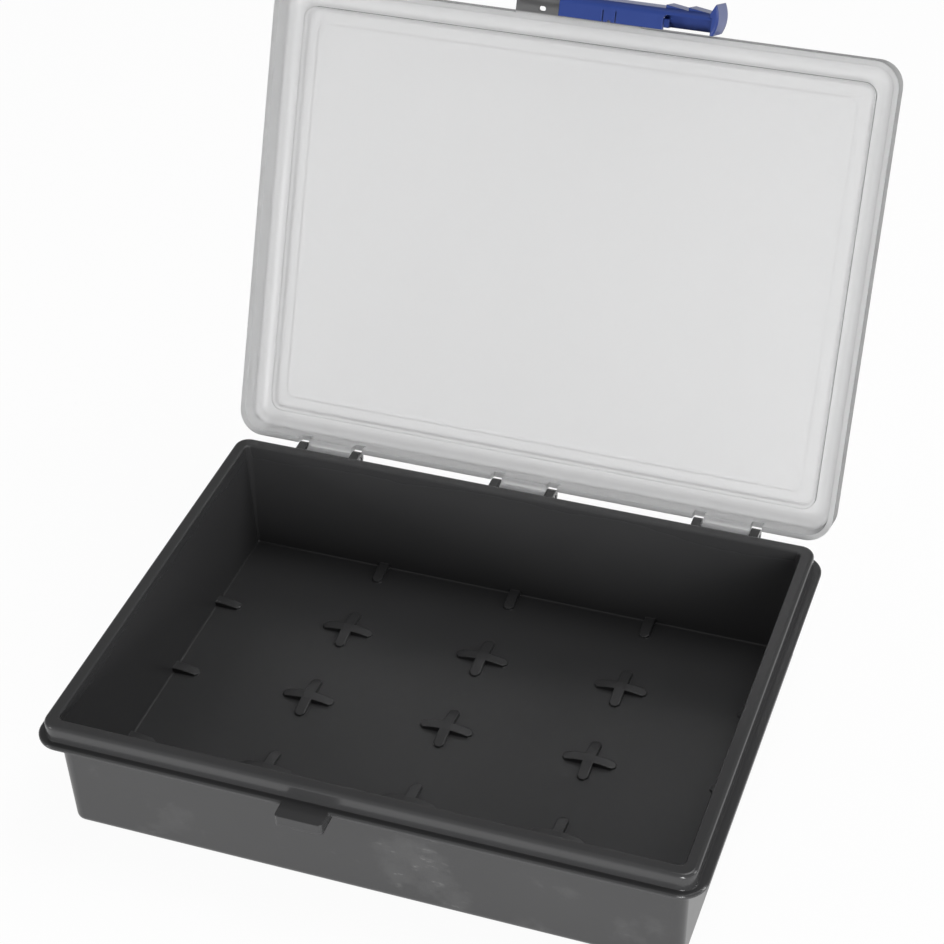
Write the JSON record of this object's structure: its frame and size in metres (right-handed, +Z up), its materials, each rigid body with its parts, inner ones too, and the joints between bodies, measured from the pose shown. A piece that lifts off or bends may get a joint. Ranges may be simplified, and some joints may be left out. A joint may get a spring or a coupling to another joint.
{
  "type": "storage box",
  "caption": "Shallow rectangular storage box: dark moulded tray with lipped rim and floor ribs, clear lid on pinned hinges, and a latch that slides along the lid's front to lock it.",
  "frame": {"origin": "centre of the tray's flat underside", "axes": "+X along the hinge line to the right, +Y from the front to the hinges, +Z up; lid open, latch unlocked"},
  "size_m": [0.2392, 0.2711, 0.2248],
  "materials": {
    "tray_plastic": "fine matt",
    "lid_plastic": "clear",
    "latch_plastic": "satin",
    "pin_steel": "drawn"
  },
  "bodies": {
    "tray_body": {"tray": "tray_plastic", "hinge_pin_left": "pin_steel", "hinge_pin_centre": "pin_steel", "hinge_pin_right": "pin_steel"},
    "lid_body": {"lid": "lid_plastic"},
    "latch_body": {"latch_slider": "latch_plastic"}
  },
  "joints": [
    {"name": "lid_hinge", "type": "hinge", "parent": "tray_body", "child": "lid_body", "pos_m": [0, 0.0918, 0.0444], "axis": [1, 0, 0], "range_deg": [0, 113.4]},
    {"name": "latch_slide", "type": "slide", "parent": "lid_body", "child": "latch_body", "axis": [1, 0, 0], "range_m": [-0.024, 0]}
  ]
}
